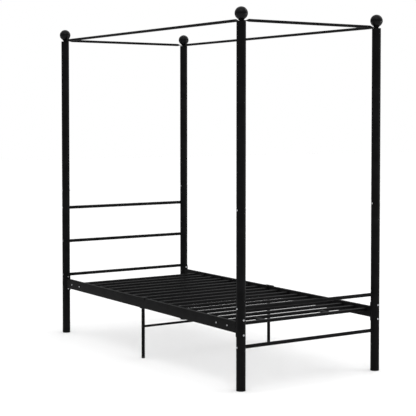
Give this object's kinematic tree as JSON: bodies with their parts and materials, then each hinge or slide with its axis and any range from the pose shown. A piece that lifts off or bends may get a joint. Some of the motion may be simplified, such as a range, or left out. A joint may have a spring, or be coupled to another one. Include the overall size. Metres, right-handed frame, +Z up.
{
  "type": "four poster canopy bed",
  "caption": "Slim tubular steel four poster bed for a single mattress, with slats, low head and foot frames, and an open canopy frame of thin rods clamped under ball finials.",
  "frame": {"origin": "on the floor, under the middle of the bed's length and width", "axes": "+X across the width to the bed's right side as seen from the foot end, +Y along the length towards the head end, +Z up"},
  "size_m": [0.9948, 2.1048, 2.01],
  "materials": {
    "powder_coat": "satin black powder coat",
    "finial_gloss": "glossy black",
    "glide_plastic": "matte black",
    "zinc_plate": "bright zinc plate"
  },
  "bodies": {
    "root": {"ball_finial_foot_left": "finial_gloss", "ball_finial_foot_right": "finial_gloss", "ball_finial_head_left": "finial_gloss", "ball_finial_head_right": "finial_gloss", "canopy_rod_foot": "powder_coat", "canopy_rod_head": "powder_coat", "canopy_rod_left": "powder_coat", "canopy_rod_right": "powder_coat", "foot_bar_lower": "powder_coat", "foot_bar_upper": "powder_coat", "foot_glide_foot_left": "glide_plastic", "foot_glide_foot_right": "glide_plastic", "foot_glide_head_left": "glide_plastic", "foot_glide_head_right": "glide_plastic", "head_bar_lower": "powder_coat", "head_bar_middle": "powder_coat", "head_bar_upper": "powder_coat", "joint_bolt_foot_left": "zinc_plate", "joint_bolt_foot_right": "zinc_plate", "joint_bolt_head_left": "zinc_plate", "joint_bolt_head_right": "zinc_plate", "lower_post_foot_left": "powder_coat", "lower_post_foot_right": "powder_coat", "lower_post_head_left": "powder_coat", "lower_post_head_right": "powder_coat", "rail_bracket_foot_left": "powder_coat", "rail_bracket_foot_right": "powder_coat", "rail_bracket_head_left": "powder_coat", "rail_bracket_head_right": "powder_coat", "rail_clip_left": "powder_coat", "rail_clip_right": "powder_coat", "side_rail_foot_left": "powder_coat", "side_rail_foot_right": "powder_coat", "side_rail_head_left": "powder_coat", "side_rail_head_right": "powder_coat", "slat_01": "powder_coat", "slat_02": "powder_coat", "slat_03": "powder_coat", "slat_04": "powder_coat", "slat_05": "powder_coat", "slat_06": "powder_coat", "slat_07": "powder_coat", "slat_08": "powder_coat", "slat_09": "powder_coat", "slat_10": "powder_coat", "slat_11": "powder_coat", "slat_12": "powder_coat", "slat_13": "powder_coat", "slat_14": "powder_coat", "slat_15": "powder_coat", "slat_16": "powder_coat", "slat_17": "powder_coat", "slat_18": "powder_coat", "support_cross_bar": "powder_coat", "support_leg_left": "powder_coat", "support_leg_right": "powder_coat", "upper_post_foot_left": "powder_coat", "upper_post_foot_right": "powder_coat", "upper_post_head_left": "powder_coat", "upper_post_head_right": "powder_coat"}
  },
  "joints": []
}
